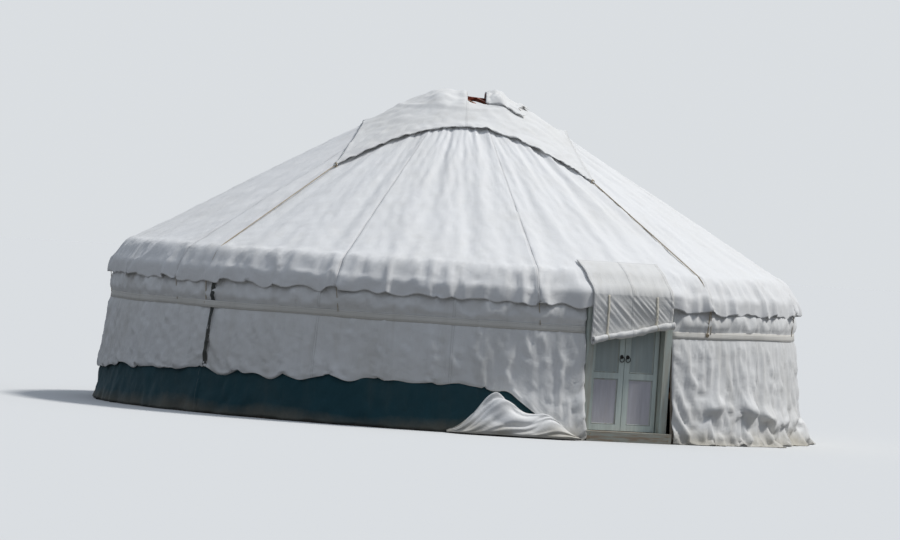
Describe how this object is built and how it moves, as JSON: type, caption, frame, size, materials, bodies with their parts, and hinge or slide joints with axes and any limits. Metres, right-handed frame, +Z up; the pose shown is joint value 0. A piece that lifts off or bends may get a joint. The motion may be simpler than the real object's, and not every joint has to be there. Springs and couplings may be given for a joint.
{
  "type": "yurt",
  "caption": "Round felt tent with a lattice wall, bent roof poles, a mortised crown ring, canvas covers, a dark foot skirt and a double door that swings inwards.",
  "frame": {"origin": "middle of the floor circle, at ground level", "axes": "+Z up, the door faces -Y, +X to the right of someone who faces the door"},
  "size_m": [7.5, 7.5, 3.4893],
  "materials": {
    "wall_canvas": "matt",
    "roof_canvas": "matt",
    "crown_canvas": "matt",
    "flap_canvas": "matt",
    "skirt_canvas": "matt",
    "belt_webbing": "matt",
    "lath_wood": "painted",
    "pole_wood": "painted",
    "crown_wood": "painted",
    "door_frame_paint": "painted",
    "door_leaf_paint": "painted"
  },
  "bodies": {
    "tent": {"wall_cover_1": "wall_canvas", "wall_cover_2": "wall_canvas", "wall_cover_3": "wall_canvas", "wall_cover_4": "wall_canvas", "wall_cover_5": "wall_canvas", "base_skirt_1": "skirt_canvas", "base_skirt_2": "skirt_canvas", "lattice_1": "lath_wood", "lattice_2": "lath_wood", "lattice_3": "lath_wood", "lattice_4": "lath_wood", "lattice_5": "lath_wood", "lattice_6": "lath_wood", "roof_cover_1": "roof_canvas", "roof_cover_2": "roof_canvas", "roof_cover_3": "roof_canvas", "roof_cover_4": "roof_canvas", "roof_cover_5": "roof_canvas", "roof_cover_6": "roof_canvas", "roof_cover_7": "roof_canvas", "roof_cover_8": "roof_canvas", "roof_cover_9": "roof_canvas", "roof_cover_10": "roof_canvas", "roof_cover_11": "roof_canvas", "roof_poles_1": "pole_wood", "roof_poles_2": "pole_wood", "roof_poles_3": "pole_wood", "roof_poles_4": "pole_wood", "door_threshold": "door_frame_paint", "door_jamb_left": "door_frame_paint", "door_jamb_right": "door_frame_paint", "door_lintel": "door_frame_paint", "crown_ring": "crown_wood", "crown_bars": "crown_wood", "crown_cover": "crown_canvas", "crown_cover_fold": "crown_canvas", "door_flap": "flap_canvas", "wall_belt": "belt_webbing"},
    "left_leaf": {"door_leaf_left": "door_leaf_paint"},
    "right_leaf": {"door_leaf_right": "door_leaf_paint"}
  },
  "joints": [
    {"name": "left_door_hinge", "type": "hinge", "parent": "tent", "child": "left_leaf", "pos_m": [-0.39811, -3.54711, 0.1], "axis": [0, 0, 1], "range_deg": [0, 90]},
    {"name": "right_door_hinge", "type": "hinge", "parent": "tent", "child": "right_leaf", "pos_m": [0.39811, -3.54711, 0.1], "axis": [0, 0, -1], "range_deg": [0, 90]}
  ]
}
